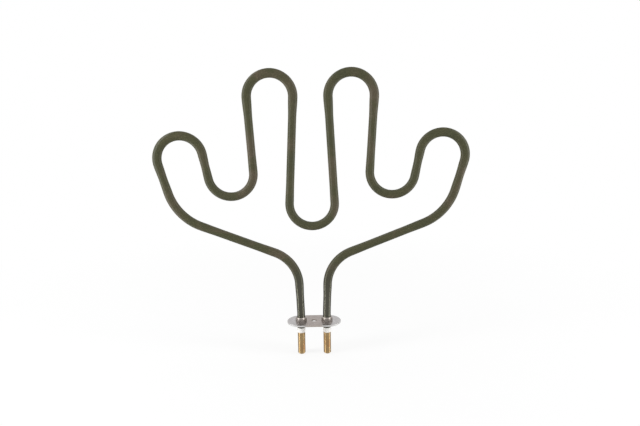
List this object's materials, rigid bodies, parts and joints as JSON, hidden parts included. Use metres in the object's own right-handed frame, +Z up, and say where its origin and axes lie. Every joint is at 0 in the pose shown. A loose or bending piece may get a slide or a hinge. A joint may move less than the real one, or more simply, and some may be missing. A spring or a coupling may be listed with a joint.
{
  "type": "tubular heating element",
  "caption": "Flat serpentine tubular heating element with loops like a hand's fingers, on a small obround screw flange with ceramic-insulated brass plug pins.",
  "frame": {"origin": "centre of the flange plate's underside, on the axis of its screw hole", "axes": "+X along the flange and across the element, -Y is the front, +Z up the legs towards the fingers, away from the appliance wall"},
  "size_m": [0.25, 0.022, 0.2317],
  "materials": {
    "oxidised_steel_sheath": "satin",
    "zinc_plate": "satin",
    "collar_steel": "satin",
    "white_ceramic": "satin",
    "pin_brass": "satin",
    "terminal_steel": "satin",
    "resistance_wire": "matte",
    "magnesia_powder": "matte",
    "silicone_seal": "matte"
  },
  "bodies": {
    "root": {"ceramic_bead_left": "white_ceramic", "ceramic_bead_right": "white_ceramic", "contact_pin_left": "pin_brass", "contact_pin_right": "pin_brass", "crimp_collar_left": "collar_steel", "crimp_collar_right": "collar_steel", "end_seal_left": "silicone_seal", "end_seal_right": "silicone_seal", "flange_plate": "zinc_plate", "insulation_fill": "magnesia_powder", "resistance_coil": "resistance_wire", "sheath": "oxidised_steel_sheath", "terminal_rod_left": "terminal_steel", "terminal_rod_right": "terminal_steel"}
  },
  "joints": []
}
